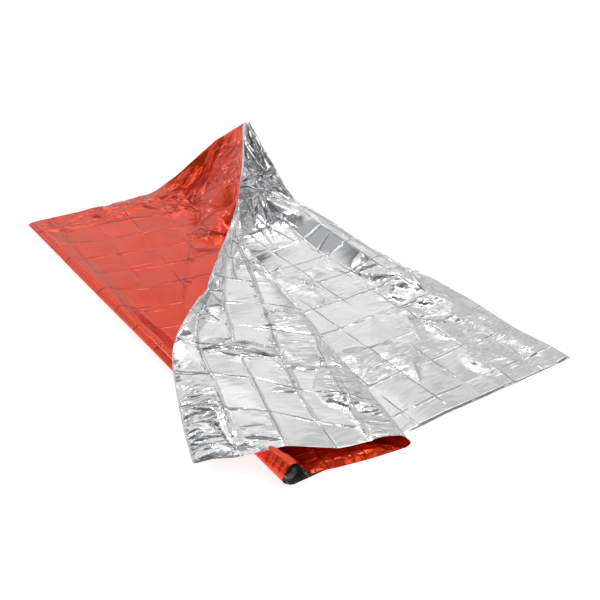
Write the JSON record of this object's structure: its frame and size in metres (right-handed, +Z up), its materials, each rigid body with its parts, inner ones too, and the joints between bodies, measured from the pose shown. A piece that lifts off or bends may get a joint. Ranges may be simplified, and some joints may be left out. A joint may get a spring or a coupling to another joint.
{
  "type": "doubled emergency foil blanket, laid open with one corner turned back",
  "caption": "Metallised film blanket doubled along one side, orange outside and silver inside, with a corner turned back and one peak.",
  "frame": {"origin": "middle of the footprint, on the floor", "axes": "+Z up from the floor, +Y along the doubled side from the near end to the end with the peak, +X from the doubled side to the free edges"},
  "size_m": [1.3248, 2.1621, 0.377],
  "materials": {
    "foil": "bright metallised film, orange on its outer side and silver on its inner side"
  },
  "bodies": {
    "root": {"foil_sheet": "foil"}
  },
  "joints": []
}
